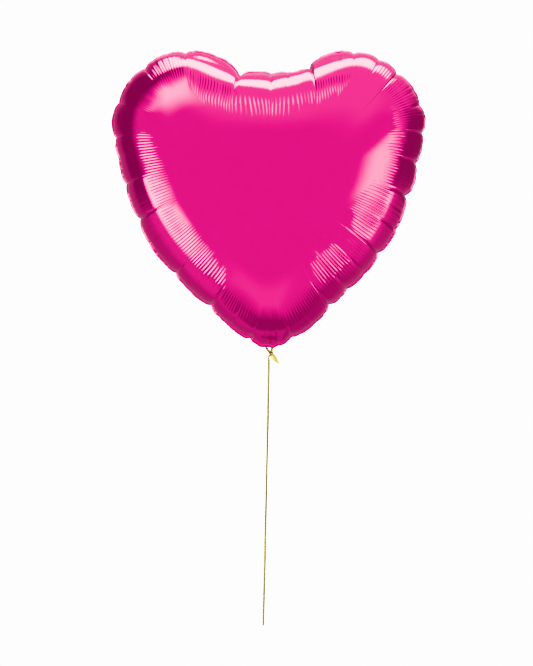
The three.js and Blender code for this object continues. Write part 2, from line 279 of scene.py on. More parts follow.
KNOT_MIDDLE = (2.7, 12, -8.7)
KNOT_SIZE = np.array([0.85, 1.2, 0.85]) * MM
KNOT_ROWS = 160
KNOT_FACING = (1, 1.6, 1)  # how strongly its band faces out along each axis
KNOT_BAND_WIDTH = 2.6 * MM
KNOT_CUP = 0.25 * MM
KNOT_CORE = np.array([2.5, 1.9, 2.7]) * MM  # half width, depth and height
CORE_COLUMNS = 48
CORE_ROWS = 20
CORE_FOLD_HEIGHT = 0.3
CORE_FOLDS_ROUND = 3.5
CORE_FOLDS_DOWN = 3

# ---------------------------------------------------------------- colours

# Each surface varies between two colours, (red, green, blue, alpha), and between two roughnesses.
WHITE = (1, 1, 1, 1)
FOIL_COLOURS = [(0.78, 0.0055, 0.225, 1), (0.82, 0.0065, 0.25, 1)]
FOIL_EDGE_TINT = (0.95, 0.3, 0.6, 1)
FOIL_ROUGHNESS = (0.06, 0.11)
VALVE_COLOURS = [(0.86, 0.88, 0.9, 1), (0.94, 0.95, 0.96, 1)]
VALVE_ROUGHNESS = (0.2, 0.4)
GOLD_COLOURS = [(0.70, 0.56, 0.15, 1), (0.84, 0.70, 0.24, 1)]
# Darker, mottled gold for the knot and the loop: painted shade, standing in for the shade and dark
# reflections in their tight folds.
SHADED_GOLD_COLOURS = [(0.05, 0.03, 0.002, 1), (0.62, 0.5, 0.12, 1)]
PAINTED_SHEEN_GOLD = (0.8, 0.77, 0.6, 1)  # painted sheen: the colour the ribbon is painted towards at a slant
PAINTED_SHEEN_SHARE = 0.9  # how much of the painted sheen shows edge on
GOLD_ROUGHNESS = (0.22, 0.34)
RIB_WAVE = 90  # radians across the ribbon
FLOOR_COLOURS = [(0.86, 0.86, 0.86, 1), (0.9, 0.9, 0.9, 1)]
FLOOR_ROUGHNESS = 0.8

# ---------------------------------------------------------------- camera, light and floor

CAMERA_DISTANCE = 3.2
CAMERA_ASIDE = -3 * MM  # from the middle of the balloon and its ribbon
CAMERA_ABOVE = 7 * MM
VIEW_HEIGHT = 0.806  # how much of the seam's plane the view takes in from bottom to top
SENSOR = 36.0  # mm
VIEW_END = 100

# The studio's panels, seen from the balloon. Each is (azimuth clockwise from the top, half width, edge)
# round the front-to-back axis and (start, edge, end, edge) away from the front, all in degrees, then its
# brightness. The front of the room is 1, flags are below 1 and softboxes are above it.
STUDIO_PANELS = [
    ((0, 181, 1), (120, 25, 181, 1), 0.6),  # the back of the room
    ((0, 181, 1), (175, 25, 181, 1), 0.3),  # its far end
    ((15, 28, 22), (48, 22, 150, 20), 1.4),  # pale wall above on the right
    ((292, 36, 14), (88, 14, 112, 14), 0.3),  # flag on the left
    ((86, 12, 14), (90, 12, 150, 10), 0.34),  # flag on the right
    ((148, 12, 12), (92, 14, 122, 8), 0.5),  # dark gap low on the right
    ((180, 28, 16), (82, 16, 98, 12), 0.4),  # dark gap under the front
    ((185, 18, 22), (50, 14, 58, 12), 1.28),  # glow low in front
    ((326, 15, 8), (84, 8, 93, 4), 0.3),  # gap between the two softboxes above
    ((329, 6, 20), (58, 16, 64, 12), 8),  # small softbox above on the left
    ((4, 20, 14), (98, 8, 113, 6), 24),  # overhead softbox
    ((249, 9, 5), (70, 22, 81, 7), 13),  # tall softbox on the left
    ((112, 2, 5), (62, 10, 90, 10), 8),  # strip light low on the right
    ((94, 9, 7), (53, 18, 62, 18), 6.5),  # softbox on the right
]
FRONT_BRIGHTNESS = 1
BACKDROP_BRIGHTNESS = 4
FLOOR_RADIUS = 3.5
FLOOR_MIDDLE_RADIUS = 0.2
FLOOR_RINGS = 12
FLOOR_COLUMNS = 96
FLOOR_Z = -1.0


def make_camera():
    """Level with the middle of the balloon and its ribbon, straight in front."""
    data = bpy.data.cameras.new("camera")
    data.sensor_width = SENSOR
    data.lens = SENSOR * CAMERA_DISTANCE / VIEW_HEIGHT
    data.clip_end = VIEW_END
    camera = bpy.data.objects.new("camera", data)
    middle = (CAD_BOX[0] + CAD_BOX[1]) / 2
    camera.location = (CAMERA_ASIDE, -CAMERA_DISTANCE, middle.z + CAMERA_ABOVE)
    camera.rotation_euler = (math.pi / 2, 0, 0)
    bpy.context.collection.objects.link(camera)
    bpy.context.scene.camera = camera


# ---------------------------------------------------------------- meshes


class MeshBuild:
    """Rows of points and the faces between them."""

    def __init__(self):
        self.points = []
        self.places = []
        self.faces = []
        self.count = 0

    def row(self, points, places=None):
        """Adds a row and returns its point numbers. places are the points' texture coordinates."""
        numbers = list(range(self.count, self.count + len(points)))
        self.points.append(np.asarray(points, float))
        if places is not None:
            self.places.append(np.asarray(places, float))
        self.count += len(points)
        return numbers

    def join(self, inner, outer, closed, flip=False):
        """Faces from a row to the next, which has as many points or a whole number of times as many."""
        ratio = len(outer) // len(inner)
        steps = len(inner) if closed else len(inner) - 1
        for i in range(steps):
            far = [outer[(i * ratio + k) % len(outer)] for k in range(ratio + 1)]
            face = [inner[i], *far, inner[(i + 1) % len(inner)]]
            self.faces.append(face[::-1] if flip else face)

    def strip(self, rows, closed, flip=False):
        """A run of rows joined one to the next."""
        numbers = [self.row(row) for row in rows]
        for inner, outer in zip(numbers, numbers[1:]):
            self.join(inner, outer, closed, flip)
        return numbers

    def piece(self, name, material):
        """The finished smooth object."""
        mesh = bpy.data.meshes.new(name)
        mesh.from_pydata(np.vstack(self.points).tolist(), [], self.faces)
        mesh.update()
        mesh.materials.append(material)
        mesh.polygons.foreach_set("use_smooth", [True] * len(mesh.polygons))
        if self.places:
            corners = np.empty(len(mesh.loops), int)
            mesh.loops.foreach_get("vertex_index", corners)
            layer = mesh.uv_layers.new(name="ribbon")
            layer.data.foreach_set("uv", np.vstack(self.places)[corners].ravel())
        piece = bpy.data.objects.new(name, mesh)
        bpy.context.collection.objects.link(piece)
        return piece


def smoothstep(low, high, x):
    share = np.clip((x - low) / (high - low), 0, 1)
    return share * share * (3 - 2 * share)


def eased(x, start, end, before, after):
    """Goes smoothly from one value to another while x goes from start to end."""
    return before + (after - before) * smoothstep(start, end, x)


def fading(distance, reach, power=1):
    """1 at no distance, falling towards 0 past the reach."""
    return np.exp(-((distance / reach) ** power))


def unit(vectors):
    return vectors / np.linalg.norm(vectors, axis=-1, keepdims=True)


def catmull_rom(before, start, end, after, share):
    return 0.5 * (
        2 * start
        + (end - before) * share
        + (2 * before - 5 * start + 4 * end - after) * share**2
        + (3 * start - before - 3 * end + after) * share**3
    )


# ---------------------------------------------------------------- the inflated heart


def even_outline(count):
    """The outline's angle from the top, reach from the middle and distance round, at even steps, and its
    whole length. It starts at the notch and goes clockwise."""
    right = np.array(HALF_OUTLINE, float)
    left = right[-2:0:-1] * (-1, 1)
    corners = np.vstack([right, left]) * MM
    share = np.linspace(0, 1, OUTLINE_STEPS, endpoint=False)[:, None]
    stretches = []
    for i in range(len(corners)):
        after = [corners[(i + k) % len(corners)] for k in (1, 2)]
        stretches.append(catmull_rom(corners[i - 1], corners[i], *after, share))
    curve = np.vstack(stretches)
    steps = np.linalg.norm(np.roll(curve, -1, 0) - curve, axis=1)
    around = np.concatenate([[0], np.cumsum(steps)])
    even = np.linspace(0, around[-1], count, endpoint=False)
    x, z = (np.interp(even, around, np.append(curve[:, k], curve[0, k])) for k in (0, 1))
    return np.unwrap(np.arctan2(x, z)), np.hypot(x, z), even, around[-1]


class InflatedHeart:
    """The smooth bulge of one panel: a membrane over the heart, pushed up by the gas.

    share is how far the membrane has risen: 0 at the seam, 1 over the middle.
    """

    def __init__(self):
        self.angle, self.reach, self.around, self.girth = even_outline(COLUMNS)
        self.seam = self.reach - SEAM_INSET
        self.size = self.seam.max()
        bowl = (self.seam / self.size) ** 2 / 4
        self.weights = np.linalg.lstsq(self.terms(self.seam, self.angle), bowl, rcond=None)[0]
        self.top = self.membrane(np.zeros(1), np.zeros(1))[0]
        self.error = self.membrane(self.seam, self.angle)

    def terms(self, distance, angle):
        order = np.arange(MEMBRANE_TERMS)
        return (distance[..., None] / self.size) ** order * np.cos(angle[..., None] * order)

    def membrane(self, distance, angle):
        return self.terms(distance, angle) @ self.weights - (distance / self.size) ** 2 / 4

    def at_angle(self, values, angle):
        """A value that is known round the seam, read at any angle."""
        return np.interp(angle % FULL_TURN, np.append(self.angle, FULL_TURN), np.append(values, values[0]))

    def share(self, flat):
        """The share at points of the seam's plane, given as (x, z) about the middle."""
        distance, angle = np.hypot(flat[..., 0], flat[..., 1]), np.arctan2(flat[..., 0], flat[..., 1])
        outwards = distance / self.at_angle(self.seam, angle)
        correction = self.at_angle(self.error, angle) * outwards**EDGE_FIT_POWER
        return (self.membrane(distance, angle) - correction) / self.top

    def uphill(self, flat):
        """The slope of the share at points of the seam's plane."""
        steps = np.array([(SLOPE_STEP, 0), (0, SLOPE_STEP)])
        slopes = [(self.share(flat + step) - self.share(flat - step)) / (2 * SLOPE_STEP) for step in steps]
        return np.stack(slopes, -1)

    def depth(self, share):
        return BULGE_DEPTH * np.sqrt(1 - (1 - np.clip(share, 0, 1)) ** MEMBRANE_FULLNESS)

    def level_lines(self, bulge_angles):
        """Rows of equal depth, joined by columns that run square to them, from the seam inward."""
        flat = self.seam[:, None] * np.stack([np.sin(self.angle), np.cos(self.angle)], -1)
        rows = [flat]
        for bulge_angle in bulge_angles[1:]:
            level = 1 - math.cos(bulge_angle) ** (2 / MEMBRANE_FULLNESS)
            for _ in range(LEVEL_STEPS):
                slope = self.uphill(flat)
                flat = flat + slope * ((level - self.share(flat)) / (slope**2).sum(-1))[:, None]
            rows.append(flat)
        return np.array(rows)


def drift(rng, heart, size, wavelength):
    """A smooth random line round the seam, about -size to size, that meets itself."""
    count = int(round(heart.girth / wavelength))
    values = rng.uniform(-1, 1, count)
    place = heart.around / heart.girth * count
    low = np.floor(place).astype(int)
    share = smoothstep(0, 1, place - low)
    return size * (values[low % count] * (1 - share) + values[(low + 1) % count] * share)


class Puckers:
    """Where the film of one panel is gathered round the seam. The seam itself is the same for both panels.

    before and after are the columns of the deep creases on each side of a column, span is the gap between
    those creases, place is 0 at the one and 1 at the other, and dome is 1 halfway between them and 0 at both.
    """

    def __init__(self, heart, seed):
        self.heart = heart
        self.rng = np.random.RandomState(seed)
        self.seam_rng = np.random.RandomState(WRINKLE_SEED)
        angle, depth, length = np.array(CREASES, float).T
        self.crease_around = np.interp(angle, np.degrees(heart.angle), heart.around)
        self.crease_depth = depth * MM
        self.crease_length = length * MM
        folds = self.crease_around[self.crease_depth > FACET_EDGE_DEPTH]
        after = np.searchsorted(folds, heart.around, side="right") % len(folds)
        fold_columns = np.round(folds / heart.girth * COLUMNS).astype(int)
        self.before, self.after = fold_columns[after - 1], fold_columns[after]
        self.span = (folds[after] - folds[after - 1]) % heart.girth
        self.place = ((heart.around - folds[after - 1]) % heart.girth) / self.span
        self.dome = 4 * self.place * (1 - self.place)

    def flatten(self, rows, inset):
        """Rows of the bulge with the film pulled flat between neighbouring deep creases."""
        start = rows[:, self.before]
        end = rows[:, self.after]
        chord = start + (end - start) * self.place[None, :, None]
        strength = FACET_STRENGTH * smoothstep(0, FACET_START, inset) * (1 - smoothstep(*FACET_FADE, inset))
        return rows + (chord - rows) * strength[..., None]

    def height(self, inset):
        """How far the film stands off, by the distance in from the seam in the seam's plane."""
        return self.creases(inset) + self.puffs(inset) + self.seam_wrinkles(inset) + self.fine_ridges(inset)

    def creases(self, inset):
        heart = self.heart
        width = CREASE_WIDTH + CREASE_FLARE * fading(inset, CREASE_FLARE_REACH)
        kept = CREASE_TAIL + (1 - CREASE_TAIL) * fading(inset, CREASE_TAIL_START)
        height = np.zeros_like(inset)
        for around, depth, length in zip(self.crease_around, self.crease_depth, self.crease_length):
            gap = np.abs(heart.around - around)
            gap = np.minimum(gap, heart.girth - gap)
            height -= depth * kept * fading(gap, width, CREASE_POWER) * fading(inset, length, 2)
        return height

    def puffs(self, inset):
        rise = np.minimum(PUFF_RISE * self.span, PUFF_RISE_LIMIT) * self.dome
        return rise * fading(inset, PUFF_REACH, PUFF_POWER)

    def seam_wrinkles(self, inset):
        rng, heart = self.seam_rng, self.heart
        phase = heart.around / WRINKLE_PITCH + drift(rng, heart, *WRINKLE_PHASE_DRIFT)
        strength = WRINKLE_STRENGTH + drift(rng, heart, *WRINKLE_STRENGTH_DRIFT)
        wave = (np.abs(np.sin(math.pi * phase)) ** FOLD_POWER - WRINKLE_LEVEL) * strength
        reach = WRINKLE_REACH + drift(rng, heart, *WRINKLE_REACH_DRIFT)
        return WRINKLE_HEIGHT * wave * fading(inset, reach, WRINKLE_POWER)

    def fine_ridges(self, inset):
        rng, heart = self.rng, self.heart
        degrees, *columns = np.array(RIDGES, float).T
        strength, start, end, outer_strength = (
            np.interp(np.degrees(heart.angle), degrees, column) for column in columns
        )
        phase = heart.around / RIDGE_PITCH + drift(rng, heart, *RIDGE_PHASE_DRIFT)
        ridge = np.abs(np.cos(math.pi * phase)) ** FOLD_POWER - RIDGE_LEVEL
        each = RIDGE_STRENGTH + drift(rng, heart, *RIDGE_STRENGTH_DRIFT)
        start = start * MM + drift(rng, heart, *RIDGE_START_DRIFT)
        end = end * MM
        for end_drift in RIDGE_END_DRIFTS:
            end += drift(rng, heart, *end_drift)
        rise_start, rise_end = (start + ramp for ramp in RIDGE_START_RAMP)
        inner = smoothstep(rise_start, rise_end, inset) * (1 - smoothstep(end - RIDGE_END_RAMP, end, inset))
        reach = OUTER_RIDGE_REACH + drift(rng, heart, *OUTER_RIDGE_REACH_DRIFT)
        outer = smoothstep(*OUTER_RIDGE_START, inset)
        outer = outer * (1 - smoothstep(reach - OUTER_RIDGE_END_RAMP, reach, inset))
        return RIDGE_HEIGHT * ridge * each * np.maximum(inner * strength, outer * outer_strength)


def outward(flat_rows):
    """Unit directions away from the heart across each row, in the seam's plane."""
    along = np.roll(flat_rows, -1, 1) - np.roll(flat_rows, 1, 1)
    return unit(np.stack([-along[..., 1], along[..., 0]], -1))


def bulge(heart, side, seed):
    """One panel's rows from the seam inward, the seam row's outward directions, and its puckers."""
    angles = np.append(np.linspace(0, RIM_END, RIM_ROWS + 1), SHOULDER_ANGLES)
    flat = heart.level_lines(angles)
    depth = BULGE_DEPTH * np.sin(angles)
    steps = np.linalg.norm(np.diff(flat, axis=0), axis=-1)
    inset = np.concatenate([np.zeros((1, COLUMNS)), np.cumsum(steps, axis=0)])
    puckers = Puckers(heart, seed)
    away = outward(flat)
    flat = puckers.flatten(flat, inset)
    fall = np.gradient(inset, axis=0)
    rise = np.broadcast_to(np.gradient(depth)[:, None], inset.shape)
    length = np.hypot(fall, rise)
    height = puckers.height(inset)
    sideways = height * rise / length
    forward = height * fall / length
    sideways[0] = height[0]
    forward[0] = 0
    seam_drift = drift(np.random.RandomState(SEAM_DRIFT_SEED), heart, *SEAM_DRIFT)
    seam_drift = seam_drift * fading(inset, SEAM_DRIFT_REACH)
    rows = np.empty(flat.shape[:2] + (3,))
    rows[..., 0] = flat[..., 0] + away[..., 0] * sideways
    rows[..., 1] = side * (depth[:, None] + forward + FILM_GAP) + seam_drift
    rows[..., 2] = flat[..., 1] + away[..., 1] * sideways + HEART_MIDDLE_Z
    below = HEART_MIDDLE_Z - rows[..., 2]
    rows[..., 0] += TIP_LEAN * smoothstep(TIP_LEAN_FROM, LOBE_RISE, below)
    return rows, away[0], puckers


def middle_rows(heart, last, side):
    """Rows over the smooth middle, shrinking towards it."""
    rows = []
    for columns, share in MIDDLE_ROWS:
        flat = (last[:: COLUMNS // columns, [0, 2]] - (0, HEART_MIDDLE_Z)) * share
        depth = heart.depth(heart.share(flat))
        rows.append(np.stack([flat[:, 0], side * (depth + FILM_GAP), flat[:, 1] + HEART_MIDDLE_Z], -1))
    return rows


def tip_columns(seam):
    """The columns where the neck leaves the heart."""
    return (np.abs(seam[:, 0] - TIP_LEAN) < TIP_HALF_WIDTH) & (seam[:, 2] < HEART_MIDDLE_Z)


def flange(heart, seam, away, puckers, side):
    """The sealed border outside the seam: it waves, leans back and is folded in at the creases."""
    rng = np.random.RandomState(FLANGE_SEED)
    from_tip = np.abs(seam[:, 0] - TIP_BORDER_X) / TIP_BORDER_REACH
    at_tip = np.where(seam[:, 2] < HEART_MIDDLE_Z, np.clip(1 - from_tip**2, 0, 1), 0)
    lean = np.clip(FLANGE_LEAN + drift(rng, heart, *FLANGE_LEAN_DRIFT), *FLANGE_LEAN_LIMITS)
    lean += (TIP_BORDER_TILT - lean) * at_tip
    lean += drift(rng, heart, *FLANGE_RIPPLE_DRIFT)
    width = FLANGE_WIDTH * (1 - FLANGE_NOTCH + FLANGE_NOTCH * np.sqrt(puckers.dome)) + TIP_BORDER * at_tip
    rows = []
    for share in FLANGE_SHARES:
        row = seam.copy()
        tilt = lean * share**FLANGE_CURL
        row[:, [0, 2]] += away * (width * share * np.cos(tilt))[:, None]
        row[:, 1] += width * share * np.sin(tilt)
        rows.append(row)
    lip = rows[-1].copy()
    lip[:, 1] -= side * FILM_GAP
    return rows + [lip]


# ---------------------------------------------------------------- the neck, the tail and the valve


def neck_place(distance):
    """Where the neck's middle line is as (y, z), and its outer side, by distance from the valve's top."""
    stretches = [
        (FOLD_START, None, 0),
        (FOLD_RADIUS * math.pi / 2, FOLD_RADIUS, math.pi / 2),
        (TIE_RUN_END_Y - FOLD_RADIUS, None, 0),
        (TAIL_BEND_RADIUS * TAIL_ANGLE, TAIL_BEND_RADIUS, TAIL_ANGLE),
        (TAIL_LENGTH, None, 0),
    ]
    place, heading = np.array([0, VALVE_TOP_Z]), -math.pi / 2
    for length, radius, turn in stretches:
        step = min(distance, length)
        ahead = np.array([math.cos(heading), math.sin(heading)])
        if radius is None:
            place = place + ahead * step
        else:
            left = np.array([-ahead[1], ahead[0]])
            swept = step / radius
            place = place + radius * (ahead * math.sin(swept) + left * (1 - math.cos(swept)))
            heading += swept
        distance -= step
    return place, np.array([math.sin(heading), -math.cos(heading)])


def half_width(table, distance):
    along, widths = np.array(table, float).T * MM
    return np.interp(distance, along, widths)


def neck_film(start, end, table, offset, columns):
    """Rows of a film in the neck: flat where it is wide and pleated where the ribbon gathers it."""
    rows = []
    for distance in np.arange(start, end, NECK_STEP):
        place, outer = neck_place(distance)
        gathered = half_width(FOIL_HALF_WIDTHS, distance)
        x = np.linspace(-1, 1, columns) * half_width(table, distance)
        spare = max(FILM_HALF_WIDTH**2 - gathered**2, 0)
        pleat = math.sqrt(spare) / PLEATS / 2 * smoothstep(NECK_START, TIE_START, distance)
        wave = np.arcsin(PLEAT_SHARPNESS * np.sin(math.pi * PLEATS * x / gathered)) * 2 / math.pi
        lift = offset + pleat * wave + DROOP * np.sin(x / DROOP_ACROSS + distance / DROOP_ALONG)
        lean = TIP_LEAN * (1 - smoothstep(FOLD_START, TIE_START, distance))
        rows.append(np.stack([lean + x, place[0] + outer[0] * lift, place[1] + outer[1] * lift], -1))
    return rows


def neck_and_tail(seam, side):
    """A panel's half of the neck and the tail, starting on the seam at the tip."""
    tip = seam[tip_columns(seam)]
    tip = tip[np.argsort(tip[:, 0])]
    rows = neck_film(NECK_START, NECK_END, FOIL_HALF_WIDTHS, -side * FOIL_OFFSET, FOIL_NECK_COLUMNS)
    first = np.stack([np.interp(rows[0][:, 0], tip[:, 0], tip[:, k]) for k in range(3)], -1)
    shift = first - rows[0]
    return [row + shift * (1 - smoothstep(0, BLEND_ROWS, i)) for i, row in enumerate(rows)]


def foil_panel(name, heart, side, seed, material):
    """One half of the envelope: the bulge, its sealed border, and its half of the neck and the tail."""
    flip = side < 0
    build = MeshBuild()
    rows, away, puckers = bulge(heart, side, seed)
    shoulder = [row[::2] for row in rows[RIM_ROWS + 1 :][::-1]]
    inner = middle_rows(heart, rows[-1], side)[::-1]
    numbers = build.strip(inner + shoulder + list(rows[: RIM_ROWS + 1][::-1]), closed=True, flip=flip)
    middle = build.row([(0, side * (BULGE_DEPTH + FILM_GAP), HEART_MIDDLE_Z)])[0]
    ring = numbers[0]
    for i in range(len(ring)):
        face = [middle, ring[i], ring[(i + 1) % len(ring)]]
        build.faces.append(face[::-1] if flip else face)
    build.strip(flange(heart, rows[0], away, puckers, side), closed=True, flip=flip)
    build.strip(neck_and_tail(rows[0], side), closed=False, flip=flip)
    return build.piece(name, material)


def valve_film(name, side, material):
    """A film of the self-sealing valve: flat inside the heart, gathered in the neck, flat in the tail."""
    build = MeshBuild()
    for face_side in (-1, 1):
        offset = -side * VALVE_OFFSET + face_side * VALVE_HALF_THICKNESS
        rows = neck_film(0, VALVE_END, VALVE_HALF_WIDTHS, offset, VALVE_COLUMNS)
        build.strip(rows, closed=False, flip=face_side < 0)
    return build.piece(name, material)


# ---------------------------------------------------------------- ribbon


def smooth_route(route, rows):
    """Points along a smooth curve through a route given in mm, evenly spaced."""
    corners = np.array(route, float) * MM
    corners = np.vstack([2 * corners[0] - corners[1], corners, 2 * corners[-1] - corners[-2]])
    share = np.linspace(0, 1, ROUTE_STEPS)[:, None]
    curve = np.vstack([catmull_rom(*corners[i : i + 4], share) for i in range(len(corners) - 3)])
    around = np.concatenate([[0], np.cumsum(np.linalg.norm(np.diff(curve, axis=0), axis=1))])
    even = np.linspace(0, around[-1], rows)
    return np.stack([np.interp(even, around, curve[:, k]) for k in range(3)], -1)


def square_to(along, vectors):
    """Unit vectors square to a path's directions, the nearest to given ones."""
    return unit(vectors - (vectors * along).sum(-1, keepdims=True) * along)


def facing(path, direction, angles):
    """Directions square to a path, the nearest to a given one, then turned about the path."""
    along = unit(np.gradient(path, axis=0))
    square = square_to(along, np.broadcast_to(np.asarray(direction, float), path.shape))
    angles = angles[:, None]
    return square * np.cos(angles) + np.cross(along, square) * np.sin(angles)


def ribbon_strip(build, path, faces, widths, cups, closed=False, slant=0.0):
    """A thin band along a path. faces are its front side's directions and cups how far it bows forward."""
    if closed:
        along = unit(np.roll(path, -1, 0) - np.roll(path, 1, 0))
    else:
        along = unit(np.gradient(path, axis=0))
    faces = square_to(along, faces)
    sides = np.cross(along, faces)
    reach = np.linspace(-1, 1, RIBBON_COLUMNS)
    share = np.linspace(0, 1, len(path))
    edge = np.repeat([1.0, -1.0], RIBBON_COLUMNS)
    across = np.concatenate([reach, reach[::-1]])
    numbers = []
    for i in range(len(path)):
        bow = cups[i] * (1 - across**2)
        lift = (bow + edge * RIBBON_THICKNESS / 2)[:, None]
        cut = (across * slant * smoothstep(SLANT_START, 1, share[i]))[:, None]
        ring = path[i] + sides[i] * (across * widths[i] / 2)[:, None] + faces[i] * lift + along[i] * cut
        places = np.stack([(across + 1) / 2, np.full(len(across), share[i])], -1)
        numbers.append(build.row(ring, places))
    for inner, outer in zip(numbers, numbers[1:]):
        build.join(inner, outer, closed=True)
    if closed:
        build.join(numbers[-1], numbers[0], closed=True)
    else:
        build.faces.append(numbers[0])
        build.faces.append(numbers[-1][::-1])


def long_end(material):
    """The long run: it hangs nearly edge on, turning a little along its length."""
    build = MeshBuild()
    path = smooth_route(LONG_END_ROUTE, LONG_END_ROWS)
    distance = np.linspace(0, 1, len(path)) * LONG_END_LENGTH
    turn = np.full(len(path), float(LONG_END_TURN))
    for size, length, phase in LONG_END_SWAYS:
        turn += size * np.sin(distance / length + phase)
    faces = facing(path, FORWARD, np.radians(turn))
    widths = RIBBON_WIDTH * eased(distance, *LONG_END_WIDTH_CHANGE)
    cups = LONG_END_CUP + LONG_END_CUP_WAVE * np.sin(distance / LONG_END_CUP_LENGTH)
    ribbon_strip(build, path, faces, widths, cups, slant=LONG_END_SLANT)
    return build.piece("ribbon_run", material)


def short_end(material):
    """The loose end: pinched in the knot, folded along its middle, and cut on a slant."""
    build = MeshBuild()
    path = smooth_route(SHORT_END_ROUTE, SHORT_END_ROWS)
    share = np.linspace(0, 1, len(path))
    faces = facing(path, SHORT_END_FACING, np.radians(np.linspace(*SHORT_END_TURNS, len(path))))
    widths = RIBBON_WIDTH * eased(share, *SHORT_END_SPREAD_CHANGE) * eased(share, *SHORT_END_FOLD_CHANGE)
    cups = np.linspace(*SHORT_END_CUPS, len(path))
    ribbon_strip(build, path, faces, widths, cups, slant=SHORT_END_SLANT)
    return build.piece("ribbon_loose_end", material)


def loop(material):
    """The ribbon round the gathered neck: flat over it, then two strands that twist down to the knot."""
    build = MeshBuild()
    foot = np.array(LOOP_FOOT)
    turns = np.radians(np.linspace(-LOOP_END_DEGREES, 180 + LOOP_END_DEGREES, LOOP_POINTS))
    middle = np.array([0, TIE_Y, NECK_Z]) / MM
    over = middle + np.stack([np.cos(turns), np.zeros(len(turns)), np.sin(turns)], -1) * LOOP_HALF_SIZE
    rise = np.array(STRAND_RISE)[:, None]
    right = foot + (over[0] - foot) * rise + STRAND_OFFSET
    left = foot + (over[-1] - foot) * rise[::-1] + STRAND_OFFSET * (-1, 1, 1)
    path = smooth_route(np.vstack([right, over, left]), LOOP_ROWS)
    share = np.linspace(0, 1, len(path))
    from_foot = np.minimum(share, 1 - share)
    strand = eased(from_foot, *STRAND_CHANGE)
    twist = np.radians(np.where(share < 0.5, *STRAND_TURNS)) * strand
    faces = facing(path, path - middle * MM, twist)
    widths = RIBBON_WIDTH * (LOOP_WIDTH - strand * eased(from_foot, *STRAND_PINCH_CHANGE))
    ribbon_strip(build, path, faces, widths, LOOP_CUP * (1 + strand))
    return build.piece("ribbon_tie_loop", material)


def knot_core(build, middle):
    """The crumpled ribbon inside the knot."""
    circle = np.linspace(0, FULL_TURN, CORE_COLUMNS, endpoint=False)
    rings = []
    for tilt in np.linspace(0, math.pi, CORE_ROWS)[1:-1]:
        level = np.full(len(circle), math.cos(tilt))
        ball = np.stack([math.sin(tilt) * np.cos(circle), math.sin(tilt) * np.sin(circle), level], -1)
        folds = 1 + CORE_FOLD_HEIGHT * np.abs(np.sin(CORE_FOLDS_ROUND * circle + CORE_FOLDS_DOWN * tilt))
        places = np.stack([circle / FULL_TURN, np.full(len(circle), tilt / math.pi)], -1)
        rings.append(build.row(middle + ball * KNOT_CORE * folds[:, None], places))
    for upper, lower in zip(rings, rings[1:]):
        build.join(upper, lower, closed=True)
    build.faces.append(rings[0][::-1])
    build.faces.append(rings[-1])


def knot(material):
    """A small tight overhand knot round a crumpled core."""
    build = MeshBuild()
    middle = np.array(KNOT_MIDDLE) * MM
    t = np.linspace(0, FULL_TURN, KNOT_ROWS, endpoint=False)
    curve = np.stack([np.sin(t) + 2 * np.sin(2 * t), -np.sin(3 * t), np.cos(t) - 2 * np.cos(2 * t)], -1)
    path = middle + curve * KNOT_SIZE
    faces = unit((path - middle) * KNOT_FACING)
    each = np.ones(len(path))
    ribbon_strip(build, path, faces, each * KNOT_BAND_WIDTH, each * KNOT_CUP, closed=True)
    knot_core(build, middle)
    return build.piece("ribbon_overhand_knot", material)


# ---------------------------------------------------------------- materials


class NodeTree:
    """Builds the nodes of a material or the world. Values are numbers, colours or other nodes' outputs."""

    def __init__(self, tree):
        self.nodes = tree.nodes
        self.links = tree.links

    def fill(self, node, inputs):
        """Sets a node's inputs, given by name or number."""
        for name, value in inputs.items():
            if isinstance(value, bpy.types.NodeSocket):
                self.links.new(value, node.inputs[name])
            else:
                node.inputs[name].default_value = value
        return node

    def shade(self, inputs):
        """Sets the inputs of the material's own shader."""
        self.fill(self.nodes["Principled BSDF"], inputs)

    def coordinates(self, kind):
        return self.nodes.new("ShaderNodeTexCoord").outputs[kind]

    def axes(self, vector):
        """The x, y and z of a vector."""
        return self.fill(self.nodes.new("ShaderNodeSeparateXYZ"), {0: vector}).outputs

    def noise(self, place, scale):
        texture = self.nodes.new("ShaderNodeTexNoise")
        return self.fill(texture, {"Vector": place, "Scale": scale, "Detail": 2.0}).outputs["Fac"]

    def ranged(self, value, low, high):
        """A 0 to 1 value spread between two others."""
        spread = self.nodes.new("ShaderNodeMapRange")
        return self.fill(spread, {"Value": value, "To Min": low, "To Max": high}).outputs["Result"]

    def blend(self, factor, first, second, kind="RGBA"):
        """Something between two colours, or two numbers if the kind is FLOAT."""
        mix = self.nodes.new("ShaderNodeMix")
        mix.data_type = kind
        return self.fill(mix, {"Factor": factor, "A": first, "B": second}).outputs["Result"]

    def calculate(self, operation, *values):
        node = self.nodes.new("ShaderNodeMath")
        node.operation = operation
        return self.fill(node, dict(enumerate(values))).outputs[0]

    def bump(self, value, height, under=None):
        """A normal that a value raises by up to a height, over another normal if one is given."""
        node = self.fill(self.nodes.new("ShaderNodeBump"), {"Height": value, "Distance": height})
        if under is not None:
            self.links.new(under, node.inputs["Normal"])
        return node.outputs["Normal"]

    def band(self, value, low, low_edge, high, high_edge):
        """1 between low and high, falling smoothly to 0 over the edges, all in degrees."""
        ramps = []
        for start, end in ((low - low_edge, low), (high + high_edge, high)):
            ramp = self.nodes.new("ShaderNodeMapRange")
            ramp.interpolation_type = "SMOOTHSTEP"
            self.fill(ramp, {"Value": value, "From Min": start, "From Max": end})
            ramps.append(ramp.outputs["Result"])
        return self.calculate("MULTIPLY", *ramps)

    def white_background(self, strength):
        background = self.nodes.new("ShaderNodeBackground")
        return self.fill(background, {"Color": WHITE, "Strength": strength}).outputs[0]


def new_material(name):
    material = bpy.data.materials.new(name)
    material.use_nodes = True
    return material, NodeTree(material.node_tree)


